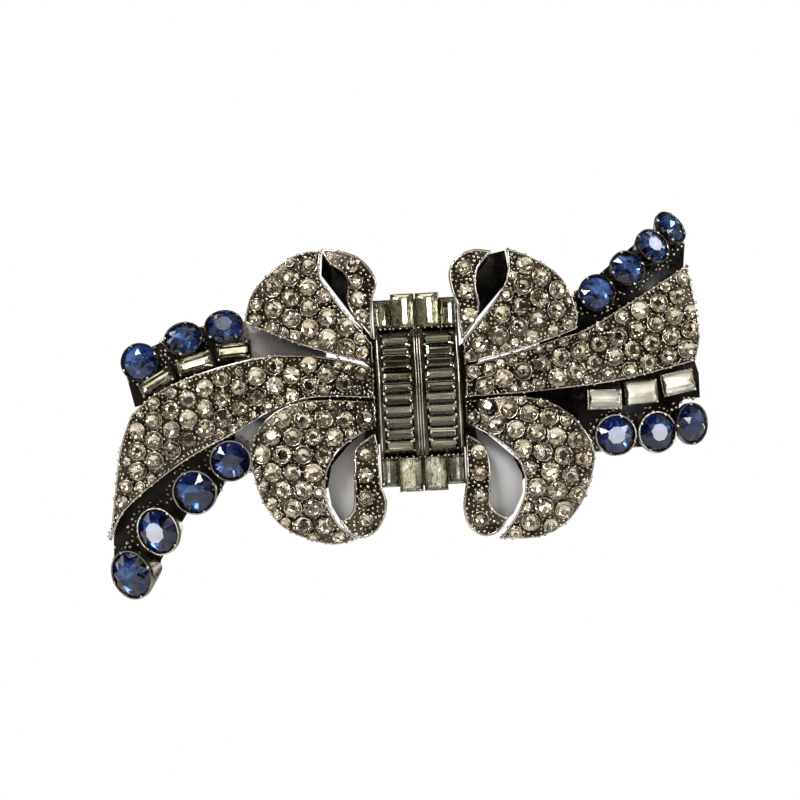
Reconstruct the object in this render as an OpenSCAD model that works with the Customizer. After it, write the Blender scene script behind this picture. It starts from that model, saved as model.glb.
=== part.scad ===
// Bow-shaped hair clip: pave ribbon castings, stone-set tails, a baguette knot and a sprung barrette clasp.
// Sizes are in mm. Each piece is drawn face up: X along the clip, Y up its face, Z out of the face.
// The whole clip then stands upright, with its face towards -Y and the middle of the hair gap at the origin.

/* [Barrette] */
// Length of the barrette's base bar
bar_l = 80; // [76:1:84]
// Width of the barrette's base bar
bar_w = 8; // [8:0.5:9]
// Thickness of the base bar and the back plate
sheet_t = 0.8; // [0.6:0.1:1]
// Clear height of the hair gap
gap_h = 4.6; // [4.4:0.1:5]
// Width of the clasp arm
arm_w = 7; // [6.5:0.1:7]
// Thickness of the clasp arm
arm_t = 1; // [0.8:0.1:1.2]
// Radius of the hinge pin
pin_r = 0.6; // [0.5:0.05:0.7]
// Width of the tension spring
leaf_w = 5; // [4:0.5:5]
// Thickness of the tension spring
leaf_t = 0.5; // [0.3:0.1:0.5]

/* [Castings] */
// Height of the ribbon tails at the knot, from the middle of the hair gap
tail_top = 11.8; // [11.5:0.1:12.5]
// Radius of the dome that the tails follow
tail_dome_r = 110; // [100:5:130]
// Depth of the tails' edges
tail_depth = 2.6; // [2.2:0.1:2.6]
// Height of the loops' crowns
loop_top = 14.6; // [14:0.1:15.5]
// Radius of the loops' domes
loop_dome_r = 27; // [25:1:32]
// Depth of the loops' edges
loop_depth = 3.5; // [3:0.1:3.6]
// Wall thickness of the castings
wall = 1.1; // [0.9:0.1:1.3]

/* [Knot] */
// Radius of the arch of the knot
knot_r = 18; // [17:0.5:20]
// Height of the knot above the middle of the hair gap
knot_top = 15.6; // [15:0.1:16.5]
// Half the height of the knot's two stone columns
knot_half = 9.5; // [9:0.5:10.5]
// Number of baguettes in each column
column_count = 10; // [8:1:10]

/* [Stones] */
// Radius of a pave stone
pave_r = 1.5; // [1.3:0.05:1.6]
// Spacing of the pave stones
pave_pitch = 3.3; // [3.2:0.05:3.8]
// Height of a baguette
baguette_h = 1.2; // [0.8:0.1:1.4]

/* [Hidden] */
$fn = 48;

metal = "#b9b9b6";
clear_stone = "#c9c7b4";
blue_stone = "#27407f";
steel = "#d0d2d4";

// Levels, measured out from the middle of the hair gap
arm_in_z = -gap_h / 2 - 0.2;
leaf_low_z = gap_h + arm_in_z;
bar_z = 4.4;
plate_z = bar_z + sheet_t;
cast_z = plate_z + sheet_t;

// Hinge, catch and spring places
hinge_x = 3 - bar_l / 2;
hinge_z = 1;
running = 0.05;
wing_x = 36;
wing_y = 4.9;
wing_z = 0.8;
wing_pin_r = 0.4;
leaf_x0 = -31;
leaf_x1 = 27;
leaf_drop = 1.3;
rivet_xs = [-20, 20];
rivet_r = 1.1;
post_xs = [12, 27];

// Crown of each dome: x, y, height and radius
dome_tail_left = [-14, -1, tail_top, tail_dome_r];
dome_tail_right = [14, 3, tail_top, tail_dome_r];
dome_ul = [-18, 13, loop_top, loop_dome_r];
dome_ur = [16, 13.5, loop_top, loop_dome_r];
dome_ll = [-17.5, -12, loop_top, loop_dome_r];
dome_lr = [18.5, -11.5, loop_top, loop_dome_r];
fold_dome_ul = [-10, 16, 13.2, 22];
fold_dome_ur = [8.5, 16, 13.2, 22];
fold_dome_ll = [-9, -16, 13.4, 24];
fold_dome_lr = [10, -16, 13.4, 24];
fold_depth = 3.4;

// Outlines, each a chain of smooth curves that meet at corners, with a straight edge at the knot
outline_tail_left = concat(
  curve([[-7.7, 4.2], [-14, 5.8], [-20.7, 6.4], [-28, 5.7], [-36.9, 3.2], [-43.4, 0.2], [-47.6, -3.5]]),
  curve([[-47.6, -3.5], [-49.4, -9], [-50.3, -16.2], [-51.1, -24]]),
  curve([[-51.1, -24], [-48.7, -19.3], [-43.4, -14.5], [-36.9, -9.9], [-30.3, -6.4], [-23.7, -2.5],
    [-17, -0.6], [-7.5, -0.7]]),
  [[-7.5, -0.7]]
);
outline_tail_right = concat(
  curve([[7.4, -0.5], [17.4, 0.2], [24.3, 1], [31, 1.9], [37.7, 3.4], [45.2, 5.5]]),
  curve([[45.2, 5.5], [45.9, 9.6], [45.2, 15], [43.9, 21.2]]),
  curve([[43.9, 21.2], [35.1, 15.5], [27.4, 10.8], [22.3, 9.1], [16.2, 7], [7.4, 4.6]]),
  [[7.4, 4.6]]
);
outline_ul = concat(
  curve([[-7.9, 8.2], [-11.6, 12.5], [-14.9, 16.6], [-16.6, 19.5], [-16.4, 23.2]]),
  curve([[-16.4, 23.2], [-18.6, 23.3], [-22.3, 21.9], [-25.1, 19.5], [-27.4, 16.9], [-28.4, 14.4],
    [-28.9, 11.7]]),
  curve([[-28.9, 11.7], [-21.8, 8.8], [-14.8, 6.6], [-7.7, 4.9]]),
  [[-7.7, 4.9]]
);
outline_ur = concat(
  curve([[7.2, 4.9], [16.2, 7.3], [22.3, 9.4], [25.4, 10.6]]),
  curve([[25.4, 10.6], [25.8, 13], [24.3, 17.2], [22.1, 20], [18, 22.5], [14.2, 23.9]]),
  curve([[14.2, 23.9], [14.4, 20.6], [13.8, 18.2], [12.3, 15.6], [9.7, 12.1], [7, 8.8]]),
  [[7, 8.8]]
);
outline_ll = concat(
  curve([[-7.3, -5.2], [-12.2, -8.2], [-14.9, -11.6], [-15.6, -15.2], [-15, -18.6], [-13.2, -21.7],
    [-10.4, -23.7]]),
  curve([[-10.4, -23.7], [-14.2, -24.8], [-19.8, -23.4], [-23.5, -21.1], [-26.1, -17.3], [-27.4, -13.2],
    [-27.8, -9], [-26.6, -5.8], [-24, -3.1], [-20, -1.4], [-14.9, -1], [-7.4, -1.2]]),
  [[-7.4, -1.2]]
);
outline_lr = concat(
  curve([[7.3, -1.1], [13.4, -0.5], [17.4, -0.5], [21.5, -1.4], [25.1, -3.7], [27.6, -6.9], [28.6, -9.9],
    [28, -13.9], [26.3, -18.2], [23.3, -21.7], [18.9, -23.6], [13.2, -23.7]]),
  curve([[13.2, -23.7], [15.7, -19.9], [17.1, -16.3], [17, -13.1], [15.2, -9.6], [11.7, -7], [7.5, -5]]),
  [[7.5, -5]]
);

// Folded strips that show inside the loops, and the recess floors beside them
fold_ul = concat(
  curve([[-7.9, 9.2], [-8.2, 12.3], [-8, 15.6], [-7.4, 18], [-8.1, 20], [-10.2, 22.2], [-13.1, 23.3],
    [-16.2, 23.6]]),
  curve([[-16.2, 23.6], [-14.8, 21.4], [-12.7, 20.1], [-11.8, 18.2], [-12, 15.4], [-10.9, 12.8],
    [-7.9, 9.2]])
);
fold_ur = concat(
  curve([[6.9, 9.3], [9.1, 12.6], [9.5, 15.1], [8.9, 17.7], [9.3, 20.6], [11.4, 23.4]]),
  curve([[11.4, 23.4], [8.6, 23.6], [6.2, 22.4], [4.8, 20.2], [5.1, 17.4], [6.1, 14.6], [6.4, 12],
    [6.9, 9.3]])
);
fold_ll = concat(
  curve([[-7.5, -6.7], [-10.4, -8.8], [-10.8, -12], [-10.7, -15.6], [-11, -19.4], [-13, -21]]),
  curve([[-13, -21], [-11.4, -22.9], [-9.3, -23.5], [-7.2, -22.3], [-5.9, -19.8], [-5.7, -17.4],
    [-6.6, -14.8], [-6.9, -11.2], [-7.05, -8.7], [-7.5, -6.7]])
);
fold_lr = concat(
  curve([[7.5, -6.8], [10.4, -8.5], [11.3, -12.2], [11.3, -16.4], [11.7, -18.9], [14.2, -20.4]]),
  curve([[14.2, -20.4], [12.7, -22.5], [10.4, -23.2], [8.1, -21.7], [7.2, -18.9], [7.4, -16.2],
    [7.7, -13.4], [7.6, -10.1], [7.5, -6.8]])
);
recess_ul = [[-8.5, 9.3], [-16.3, 19.4], [-16.2, 23], [-13.4, 21.9], [-11.4, 18.6], [-10.8, 13.2]];
recess_ur = [[8, 11], [13.9, 18], [14.4, 20.6], [13.8, 23.6], [11, 22.9], [8.8, 20.6], [9, 15.4]];
recess_ll = [[-9, -6.1], [-12.1, -8.7], [-14.6, -11.8], [-15.2, -15.2], [-14.6, -18.4], [-12.8, -21.4],
  [-10.6, -22.4], [-9.9, -19], [-9.8, -12]];
recess_lr = [[9, -5.6], [11.6, -7.4], [15, -10], [16.7, -13.2], [16.8, -16.2], [15.3, -19.6], [12.7, -22],
  [10.5, -18.6], [10.4, -12.6], [9.6, -8.4]];

// Gallery plates that carry the rows of stones beside the ribbons, and their domes
gallery_ul = [[-15.5, 5], [-15.5, 8], [-23, 11.4], [-28.3, 11.6], [-32.3, 12.2], [-39, 10.2],
  [-45.5, 7.2], [-48.4, 5.2], [-48.3, 2.5], [-47, -2.2], [-43, -1], [-36.5, 2.2], [-28, 4.8], [-20.7, 5.4]];
gallery_ll = [[-22, -2.2], [-22, -5], [-24.5, -13], [-27.9, -13], [-31.5, -13.4], [-33.6, -17.4],
  [-38.2, -19.3], [-42.1, -26], [-43.4, -29], [-47.3, -33], [-50.5, -30], [-50.6, -23], [-48.4, -17.6],
  [-43.1, -13.1], [-36.3, -8.5], [-29.8, -5], [-23.4, -1.2]];
gallery_ur = [[19.5, 7], [19.5, 12.5], [24.5, 15.5], [26.6, 18], [28.5, 19], [33, 22.8], [37.6, 26.6],
  [40.3, 28.8], [43.6, 24.8], [43.3, 20.4], [35.6, 14.6], [28, 9.8], [22.6, 8]];
gallery_lr = [[16, 0.6], [16, -2], [23.5, -5.5], [26, -9], [28.6, -9.6], [32.3, -9], [38.5, -8.6],
  [41.8, -7.8], [42.2, -5], [42.6, -1.6], [43.4, -0.9], [46, -0.6], [45.8, 3.4], [45, 5.9], [37.5, 3.9],
  [30.8, 2.2], [27, 1.5], [22.3, 1.1]];
gallery_dome_ul = [-30, 0, 6.9, 60];
gallery_dome_ll = [-26, -4, 7.2, 70];
gallery_dome_ur = [24, 8, 8, 40];
gallery_dome_lr = [26, 0, 8.2, 60];

// Blue stones: x, y, height of the girdle, radius, lean, and the direction that they lean towards
blues_ul = [[-46.2, 5.2, 7.2, 2.95, 14, 170], [-39, 9, 7.8, 3.05, 36, 108], [-32.3, 11, 9, 3.05, 36, 98]];
blues_ll = [[-31.2, -11, 9.6, 3.2, 12, 250], [-37.1, -16.2, 8.5, 3.5, 18, 225], [-43.1, -22.6, 6.4, 3.8, 34, 205],
  [-47.5, -29.8, 3.4, 3.95, 40, 205]];
blues_ur = [[29, 16.6, 10.2, 2.85, 14, 42], [34, 20.6, 8.6, 2.85, 30, 42], [38.2, 24.3, 5.7, 2.85, 42, 42],
  [41.2, 27.4, 1.1, 2.8, 55, 42]];
blues_lr = [[32.1, -6.8, 9.8, 3.2, 8, 0], [38.9, -6.3, 8.9, 3.2, 24, 0], [44.6, -4.9, 5.8, 3.25, 42, 0]];
// Tail baguettes: x, y, height of the base, length, width, turn in the face, lean, and its direction
bags_ul = [[-43.3, 2, 6.7, 6.2, 2.3, 30, 18, 180], [-37, 5.05, 8.2, 6, 2.5, 17, 12, 180],
  [-30.7, 7.1, 9.1, 5.4, 2.6, 6, 8, 180]];
bags_lr = [[30.2, -0.9, 9.6, 5.2, 2.8, 1, 8, 0], [36.2, 0.25, 8.6, 5.2, 3.5, 6, 14, 0],
  [42.2, 1.85, 6.8, 5.4, 3.2, 12, 22, 0]];
rim_share = 0.9;
pave_sink = 0.32;
line_r = 1.25;
seat_gap = 0.03;
cup_wall = 0.2;
cup_floor = 1;
foot_sink = 0.4;
pave_margin = 0.12;
pave_gap = 0.15;
pave_fill_r = 1.05;
pave_small_r = 0.7;
fill_pitch = 0.45;
fill_count = 42;
tray_rim = 0.22;
tray_floor = 1;

// Catmull-Rom curve through the points, without its last point
function curve(p, n = 3) = [
  for (i = [0:len(p) - 2], k = [0:n - 1])
    let(a = p[max(i - 1, 0)], b = p[i], c = p[i + 1], d = p[min(i + 2, len(p) - 1)], t = k / n)
      0.5 * (2 * b + (c - a) * t + (2 * a - 5 * b + 4 * c - d) * t * t
        + (3 * b - a - 3 * c + d) * t * t * t)
];

function middle(p) = [for (k = [0, 1]) (max([for (q = p) q[k]]) + min([for (q = p) q[k]])) / 2];

function shrunk(p, share) = let(c = middle(p)) [for (q = p) c + (q - c) * share];

function left_of(v) = [-v[1], v[0]] / norm(v);

// Anticlockwise outline moved in by a distance
function moved_in(p, by) = let(n = len(p)) [
  for (i = [0:n - 1])
    let(a = left_of(p[i] - p[(i + n - 1) % n]), b = left_of(p[(i + 1) % n] - p[i]))
      p[i] + by * (a + b) / (1 + a * b)
];

// Distance from point q to the segment a-b
function to_edge(q, a, b) =
  let(d = b - a, t = max(0, min(1, (q - a) * d / (d * d)))) norm(q - a - d * t);

function edge_room(q, p) = min([for (i = [0:len(p) - 1]) to_edge(q, p[i], p[(i + 1) % len(p)])]);

// True when a ray from q towards +X leaves the outline an odd number of times
function inside(q, p) =
  let(n = len(p), hits = [
    for (i = [0:n - 1])
      let(a = p[i], b = p[(i + 1) % n])
        if ((a[1] > q[1]) != (b[1] > q[1])
          && q[0] < (b[0] - a[0]) * (q[1] - a[1]) / (b[1] - a[1]) + a[0]) 1
  ]) len(hits) % 2 == 1;

// Largest stone that fits at a place, clear of the outline and of the stones already there
function room_at(q, p, stones) = min(concat(
  [edge_room(q, p) - pave_margin], [for (s = stones) norm([s[0], s[1]] - q) - s[2] - pave_gap]));

// Adds small stones, where they fit, to the stones already there
function filled(p, places, least, stones, i = 0) =
  i >= len(places) ? stones
  : let(q = places[i], r = min(pave_fill_r, room_at(q, p, stones)))
      filled(p, places, least, r < least ? stones : concat(stones, [[q[0], q[1], r]]), i + 1);

// Fine grid of places inside an outline
function grid_places(p) = let(c = middle(p)) [
  for (i = [-fill_count:fill_count], j = [-fill_count:fill_count])
    let(q = c + fill_pitch * [i, j])
      if (inside(q, p)) q
];

// A close-packed pave with smaller stones wherever its rows leave room
function pave_places(p, turn) = let(places = grid_places(p))
  filled(p, places, pave_small_r, filled(p, places, pave_fill_r, row_places(p, turn)));

// Stones of a close-packed pave inside an outline, in rows turned by an angle: x, y and radius
function row_places(p, turn) =
  let(c = middle(p), rise = pave_pitch * sqrt(3) / 2) [
    for (j = [-12:12], i = [-16:16])
      let(u = (i + (j % 2 == 0 ? 0 : 0.5)) * pave_pitch, v = j * rise,
          q = c + [u * cos(turn) - v * sin(turn), u * sin(turn) + v * cos(turn)])
        if (inside(q, p))
          let(r = min(pave_r, edge_room(q, p) - pave_margin))
            if (r > pave_fill_r) [q[0], q[1], r]
  ];

// Stones in one line between two points
function line_places(a, b, n) = [for (i = [0:n - 1]) concat(a + (b - a) * i / (n - 1), line_r)];

module upright() rotate([90, 0, 0]) children();

// Puts its children on a dome at a place, square to the dome's surface
module on_dome(dome, q) {
  dx = q[0] - dome[0];
  dy = q[1] - dome[1];
  flat = norm([dx, dy]);
  translate([dome[0], dome[1], dome[2] - dome[3]])
    rotate([0, asin(flat / dome[3]), atan2(dy, dx)])
      translate([0, 0, dome[3]])
        rotate([0, 0, -atan2(dy, dx)])
          children();
}

// Hollow-backed cast panel with a domed face
module casting(outline, hollow, dome, depth) {
  difference() {
    cut_from_dome(outline, dome, 0, depth);
    cut_from_dome(hollow, dome, wall, depth + 2);
  }
}

// What an outline cuts out of the front half of a dome's shell
module cut_from_dome(outline, dome, outer, inner) {
  intersection() {
    translate([0, 0, dome[2] - dome[3]]) linear_extrude(dome[3] + 1) polygon(outline);
    dome_shell(dome, outer, inner);
  }
}

module dome_shell(dome, outer, inner) {
  translate([dome[0], dome[1], dome[2] - dome[3]]) difference() {
    sphere(dome[3] - outer, $fn = 96);
    sphere(dome[3] - inner, $fn = 96);
  }
}

// Solder post from the back plate up into a casting
module post(x, y, top, r = 1.4) {
  translate([x, y, cast_z]) cylinder(r = r, h = top - cast_z);
}

// Round foiled stone with its girdle at z = 0
module round_stone(r, crown, pavilion) {
  rotate_extrude($fn = 32)
    polygon([[0, -pavilion], [r * 0.25, -pavilion], [r, -crown * 0.3], [r, 0], [r * 0.58, crown],
      [0, crown]]);
}

// Step-cut stone with its base at z = 0
module step_stone(l, w, h) {
  cut = 0.45;
  intersection() {
    rotate([90, 0, 90]) translate([0, 0, -l / 2]) linear_extrude(l)
      polygon([[-w / 2, 0], [w / 2, 0], [w / 2, h - cut], [w / 2 - cut, h], [cut - w / 2, h],
        [-w / 2, h - cut]]);
    rotate([90, 0, 0]) translate([0, 0, -w / 2]) linear_extrude(w)
      polygon([[-l / 2, 0], [l / 2, 0], [l / 2, h - cut], [l / 2 - cut, h], [cut - l / 2, h],
        [-l / 2, h - cut]]);
  }
}

module pave(dome, places) {
  for (q = places) on_dome(dome, q)
    translate([0, 0, pave_sink]) round_stone(q[2], q[2] * 0.4, pave_sink);
}

// Stands its children at a stone's place, leaning in the stone's direction
module at_blue(b) {
  translate([b[0], b[1], b[2]]) rotate([0, 0, b[5]]) rotate([0, b[4], 0]) children();
}

module at_bag(b) {
  translate([b[0], b[1], b[2]]) rotate([0, 0, b[7]]) rotate([0, b[6], 0]) rotate([0, 0, b[5] - b[7]]) children();
}

function pavilion(r) = 0.6 * r;

module blue(b) {
  color(blue_stone) at_blue(b) round_stone(b[3], b[3] * 0.34, pavilion(b[3]));
}

module tail_baguette(b) {
  color(clear_stone) at_bag(b) step_stone(b[3], b[4], baguette_h + 0.2);
}

function dome_height(dome, q) =
  dome[2] - dome[3] + sqrt(pow(dome[3], 2) - pow(q[0] - dome[0], 2) - pow(q[1] - dome[1], 2));

// How far a foot reaches down from a leaning place before it is sunk into the gallery
function foot_reach(at, lean, way, dome, start) =
  (at[2] - dome_height(dome, [at[0] - start * sin(lean) * cos(way), at[1] - start * sin(lean) * sin(way)]))
    / cos(lean) + foot_sink;

// Bezel cup: a short collar round the girdle over a tapering foot
module cup_body(r, reach) {
  collar_r = r + seat_gap + cup_wall;
  foot = max(reach, pavilion(r) + cup_floor);
  translate([0, 0, -0.5]) cylinder(r = collar_r, h = 0.75);
  translate([0, 0, -foot]) cylinder(r1 = r * 0.5, r2 = collar_r, h = foot - 0.5);
}

module cup_bore(r) {
  translate([0, 0, -pavilion(r) - 0.1]) cylinder(r1 = r * 0.25, r2 = r + seat_gap, h = pavilion(r) - 0.1);
  translate([0, 0, -0.2]) cylinder(r = r + seat_gap, h = 3);
}

// Low rim round a baguette, on a narrower foot
module tray_body(b, reach) {
  x = b[3] + 2 * tray_rim;
  y = b[4] + 2 * tray_rim;
  foot = max(reach, tray_floor);
  translate([-x / 2, -y / 2, -0.5]) cube([x, y, 0.9]);
  translate([0.6 - x / 2, 0.6 - y / 2, -foot]) cube([x - 1.2, y - 1.2, foot]);
}

module tray_pocket(b) {
  x = b[3] + 2 * seat_gap;
  y = b[4] + 2 * seat_gap;
  translate([-x / 2, -y / 2, 0]) cube([x, y, 4]);
}

// A row of separate cups and trays, which stand on a gallery plate
module row_setting(blues, bags, dome) {
  for (b = blues) at_blue(b) difference() {
    cup_body(b[3], foot_reach(b, b[4], b[5], dome, pavilion(b[3])));
    cup_bore(b[3]);
  }
  for (b = bags) at_bag(b) difference() {
    tray_body(b, foot_reach(b, b[6], b[7], dome, tray_floor));
    tray_pocket(b);
  }
}

// ---- Barrette ----

module back_plate() {
  color(metal) upright() difference() {
    union() {
      translate([-30, -bar_w / 2, plate_z]) cube([60, bar_w, sheet_t]);
      for (turn = [40, 140, 220, 320])
        translate([0, 0, plate_z]) rotate([0, 0, turn]) translate([0, -2, 0]) cube([22, 4, sheet_t]);
    }
    for (x = rivet_xs) translate([x, 0, plate_z - 1]) cylinder(r = rivet_r, h = 4);
  }
}

module base_bar() {
  ear_t = 0.8;
  color(steel) upright() difference() {
    union() {
      translate([-bar_l / 2, -bar_w / 2, bar_z]) cube([bar_l, bar_w, sheet_t]);
      for (s = [-1, 1]) {
        translate([-bar_l / 2, s * (bar_w / 2 - ear_t / 2) - ear_t / 2, hinge_z - 2.6])
          cube([6, ear_t, bar_z - hinge_z + 2.7]);
        for (x = [wing_x - 2.8, wing_x + 2.8])
          translate([x - 0.3, s > 0 ? 3.7 : -5.5, 0.1]) cube([0.6, 1.8, plate_z - 0.1]);
      }
    }
    hinge_bore(pin_r);
    wing_bores(wing_pin_r);
    for (x = rivet_xs) translate([x, 0, bar_z - 1]) cylinder(r = rivet_r, h = 4);
    translate([leaf_x0 + 2, 0, bar_z - 1]) cylinder(r = 0.8, h = 4);
  }
}

module hinge_bore(r) {
  translate([hinge_x, 0, hinge_z]) rotate([90, 0, 0]) cylinder(r = r, h = bar_w + 4, center = true);
}

module wing_bores(r) {
  for (s = [-1, 1])
    translate([wing_x - 5, s * wing_y, wing_z]) rotate([0, 90, 0]) cylinder(r = r, h = 10);
}

// Rivets with a round head on each side of the bar and plate
module mounting_rivets() {
  color(steel) upright() for (x = rivet_xs) translate([x, 0, 0]) {
    translate([0, 0, bar_z - 0.5]) cylinder(r = rivet_r, h = 2 * sheet_t + 1);
    translate([0, 0, bar_z - 0.5]) cylinder(r = rivet_r + 0.7, h = 0.5);
    translate([0, 0, cast_z]) cylinder(r = rivet_r + 0.7, h = 0.5);
  }
}

module hinge_pin() {
  color(steel) upright() translate([hinge_x, 0, hinge_z]) rotate([90, 0, 0]) {
    cylinder(r = pin_r, h = bar_w + 0.6, center = true);
    for (s = [-1, 1]) translate([0, 0, s * (bar_w / 2 + 0.25)]) cylinder(r = pin_r + 0.4, h = 0.5, center = true);
  }
}

module clasp_arm() {
  tab_t = 0.7;
  tab_y = 2.3;
  arm_x0 = hinge_x - 2;
  color(steel) upright() difference() {
    union() {
      translate([arm_x0, -tab_y - tab_t, arm_in_z - arm_t]) cube([6, 2 * (tab_y + tab_t), arm_t]);
      translate([arm_x0 + 6, -arm_w / 2, arm_in_z - arm_t]) cube([bar_l / 2 - 2 - arm_x0 - 6, arm_w, arm_t]);
      for (s = [-1, 1])
        translate([hinge_x - 1.5, s * (tab_y + tab_t / 2) - tab_t / 2, arm_in_z - 0.1])
          cube([3, tab_t, hinge_z + 1.2 - arm_in_z + 0.1]);
    }
    hinge_bore(pin_r + running);
    // Shallow channel down the middle of the arm, which keeps its sheet stiff
    translate([hinge_x + 8, -1.2, arm_in_z - 0.35]) cube([56, 2.4, 1]);
  }
}

// Bowed leaf with a rolled heel, on which it rocks against the base bar
module tension_spring() {
  heel_r = 0.42;
  length = leaf_x1 - leaf_x0;
  bow = (bar_z + bar_z - leaf_drop) / 2 - leaf_low_z - leaf_t;
  bow_r = length * length / 8 / bow + bow / 2;
  color(steel) upright() difference() {
    union() {
      translate([leaf_x0, 0, bar_z - 0.02]) rotate([0, asin(leaf_drop / length), 0]) intersection() {
        translate([0, -leaf_w / 2, -10]) cube([length, leaf_w, 10]);
        translate([length / 2, 0, bow_r - bow - leaf_t]) rotate([90, 0, 0]) difference() {
          cylinder(r = bow_r, h = leaf_w + 1, center = true, $fn = 96);
          cylinder(r = bow_r - leaf_t, h = leaf_w + 2, center = true, $fn = 96);
        }
      }
      translate([leaf_x0, 0, bar_z - 0.5]) rotate([90, 0, 0]) cylinder(r = heel_r, h = leaf_w, center = true);
    }
    translate([leaf_x0 + 2, 0, 0]) cylinder(r = 0.9, h = 8);
  }
}

module spring_rivet() {
  color(steel) upright() translate([leaf_x0 + 2, 0, 0]) {
    translate([0, 0, 3.1]) cylinder(r = 0.8, h = plate_z - 3.1);
    translate([0, 0, 2.7]) cylinder(r = 1.5, h = 0.45);
  }
}

// Thumb wing: a pivoted side lever with a pad in front and a hook behind the arm's end
module catch_wing() {
  plate_t = 0.6;
  reach = 0.25;
  difference() {
    union() {
      translate([wing_x - 2.3, wing_y - plate_t / 2, arm_in_z - arm_t - 0.7]) cube([4.6, plate_t, 8.6]);
      translate([wing_x - 2.3, wing_y, wing_z]) rotate([0, 90, 0]) cylinder(r = 0.75, h = 4.6);
      translate([wing_x - 2.3, arm_w / 2 + reach, arm_in_z - arm_t - 0.7])
        cube([4.6, wing_y - arm_w / 2 - reach, 0.5]);
      translate([wing_x - 2.3, wing_y, 3]) cube([4.6, 1.3, 1.6]);
    }
    wing_bores(wing_pin_r + running);
  }
}

module catch_wing_upper() color(steel) upright() catch_wing();
module catch_wing_lower() color(steel) upright() mirror([0, 1, 0]) catch_wing();

module catch_pins() {
  color(steel) upright() for (s = [-1, 1])
    translate([wing_x - 3.3, s * wing_y, wing_z]) rotate([0, 90, 0]) cylinder(r = wing_pin_r, h = 6.6);
}

// ---- Knot ----

knot_bed_r = knot_r - 0.9;
knot_shift = [-0.2, 0.3];
knot_turn = 3;
rail_xs = [-6.65, -0.7, 0, 0.7, 6.65];
rail_w = 0.5;
rail_turn = 34.5;
column_x = 3.55;
column_l = 4.85;
knot_z = knot_top - knot_r;
knot_w = 13.8;
fan_y = 12.9;
fan_z = 10.03;
fan_tilt = 24;
// Fan stones: place across the knot, width and length
fan_stones = [[-5.45, 2.7, 5], [-2.04, 3.95, 6.2], [2.04, 3.95, 6.2], [5.45, 2.7, 5]];
fan_inner = 2.9;
fan_lift = 0.09;
fan_bed_l = 5.4;
fan_bed_t = 2.6;

function arc(r, from, to, step) = [for (a = [from:step:to]) [r * sin(a), knot_z + r * cos(a)]];

// Side view of one end of the knot's casting: the slope that the fan lies on, down to the back
function fan_slope(s) = let(u = [cos(fan_tilt), -sin(fan_tilt)], v = [-sin(fan_tilt), -cos(fan_tilt)],
    tip = [fan_y, fan_z] + u * fan_bed_l / 2, foot = tip + v * fan_bed_t)
  [[s * tip[0], tip[1]], [s * foot[0], foot[1]], [s * 12, cast_z]];

// The knot sits a little turned across the clip
module at_knot() upright() translate([knot_shift[0], knot_shift[1], 0]) rotate([0, 0, knot_turn]) children();

module from_side(w) rotate([90, 0, 90]) translate([0, 0, -w / 2]) linear_extrude(w) children();

module knot_frame() {
  outer_fan = fan_slope(-1);
  color(metal) at_knot() {
    difference() {
      from_side(knot_w) polygon(concat(
        arc(knot_bed_r, -37.5, 37.5, 2.5), fan_slope(1), [for (i = [2:-1:0]) outer_fan[i]]));
      translate([-5.5, -8, cast_z - 1]) cube([11, 16, 5]);
    }
    for (x = rail_xs) translate([x, 0, 0]) from_side(rail_w)
      polygon(concat(arc(knot_r + 0.25, -rail_turn, rail_turn, 3),
        [for (q = arc(knot_bed_r - 0.5, -rail_turn, rail_turn, 3)) [-q[0], q[1]]]));
    for (s = [-1, 1]) post(s * 3.5, 0, knot_top - 4, 1.6);
  }
}

module at_fan(s) {
  translate([0, s * fan_y, fan_z]) rotate([-s * fan_tilt, 0, 0]) children();
}

module column(x) {
  step = 2 * asin(knot_half / knot_r) / column_count;
  color(clear_stone) at_knot() for (i = [0:column_count - 1])
    translate([x, 0, knot_z]) rotate([-(i - (column_count - 1) / 2) * step, 0, 0])
      translate([0, 0, knot_bed_r])
        step_stone(column_l, 2 * knot_bed_r * sin(step / 2) - 0.05, baguette_h);
}

module knot_column_left() column(-column_x);
module knot_column_right() column(column_x);

// Upright stones in one row, the middle ones longer than the outer ones
module fan(s) {
  color(clear_stone) at_knot() at_fan(s) for (q = fan_stones)
    translate([q[0], s * (q[2] / 2 - fan_inner), fan_lift]) rotate([0, 0, 90])
      step_stone(q[2], q[1], baguette_h + 0.3);
}

module knot_fan_top() fan(1);
module knot_fan_bottom() fan(-1);

// ---- Ribbons ----

module tail_left() {
  color(metal) upright() {
    casting(outline_tail_left, shrunk(outline_tail_left, rim_share), dome_tail_left, tail_depth);
    for (x = post_xs) post(-x, 2, tail_top - 1.4);
  }
}

module tail_right() {
  color(metal) upright() {
    casting(outline_tail_right, moved_in(outline_tail_right, wall), dome_tail_right, tail_depth);
    for (x = post_xs) post(x, 3, tail_top - 1.4);
  }
}

module loop(outline, dome, post_at) {
  color(metal) upright() {
    casting(outline, shrunk(outline, rim_share), dome, loop_depth);
    post(post_at[0], post_at[1], dome[2] - 1.6);
  }
}

module loop_upper_left() loop(outline_ul, dome_ul, [-17, 11.5]);
module loop_upper_right() loop(outline_ur, dome_ur, [17, 11.5]);
module loop_lower_left() loop(outline_ll, dome_ll, [-17.4, -11.2]);
module loop_lower_right() loop(outline_lr, dome_lr, [18, -11.2]);

// Folded-over strip of a loop, with the polished floor of the recess beside it
module fold(outline, recess, dome) {
  color(metal) upright() {
    cut_from_dome(outline, dome, 0, fold_depth);
    cut_from_dome(recess, dome, fold_depth - 0.8, fold_depth + 0.4);
  }
}

module fold_upper_left() fold(fold_ul, recess_ul, fold_dome_ul);
module fold_upper_right() fold(fold_ur, recess_ur, fold_dome_ur);
module fold_lower_left() fold(fold_ll, recess_ll, fold_dome_ll);
module fold_lower_right() fold(fold_lr, recess_lr, fold_dome_lr);

// ---- Stone rows ----

module gallery(outline, dome) color(metal) upright() cut_from_dome(outline, dome, 0, sheet_t);

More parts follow.
